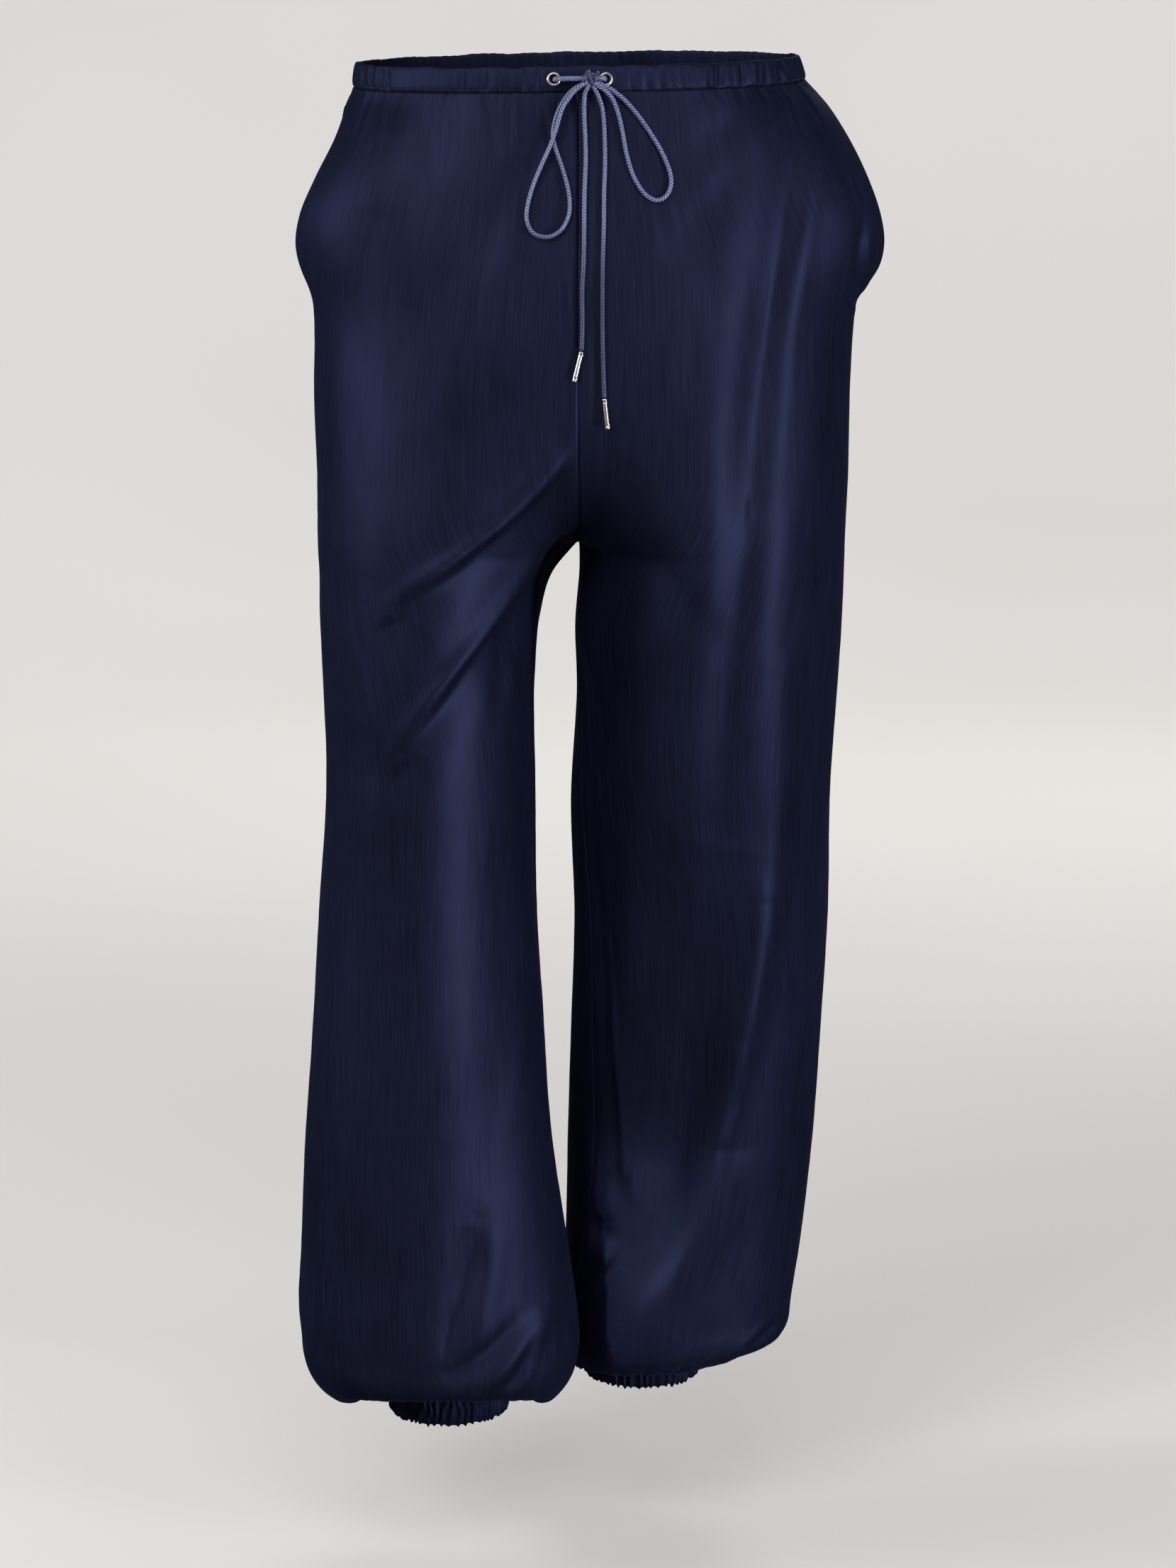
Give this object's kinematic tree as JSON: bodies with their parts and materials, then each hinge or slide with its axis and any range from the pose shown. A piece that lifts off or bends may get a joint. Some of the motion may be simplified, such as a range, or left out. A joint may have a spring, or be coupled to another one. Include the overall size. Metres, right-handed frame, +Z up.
{
  "type": "jogger trousers",
  "caption": "Loose satin jogger trousers in their hollow worn form, with a gathered drawstring waist, open side pockets and gathered ankle cuffs.",
  "frame": {"origin": "centre of the waist opening, at the height of the casing's top edge", "axes": "+Z up, -Y towards the front, +X towards the wearer's left"},
  "size_m": [0.4089, 0.272, 0.9564],
  "materials": {
    "satin": "dark navy polyester satin, soft sheen with a fine vertical grain",
    "pocketing": "plain dark navy lining cloth, matt",
    "cord": "navy satin cord, bright sheen",
    "nickel": "polished nickel plate"
  },
  "bodies": {
    "root": {"front_right": "satin", "front_left": "satin", "back_right": "satin", "back_left": "satin", "waist_casing": "satin", "cuff_right": "satin", "cuff_left": "satin", "pocket_right": "pocketing", "pocket_left": "pocketing", "eyelet_right": "nickel", "eyelet_left": "nickel", "cord_knot": "cord", "cord_lead_right": "cord", "cord_lead_left": "cord", "cord_loop_right": "cord", "cord_loop_left": "cord", "cord_tail_right": "cord", "cord_tail_left": "cord", "aglet_right": "nickel", "aglet_left": "nickel"}
  },
  "joints": []
}
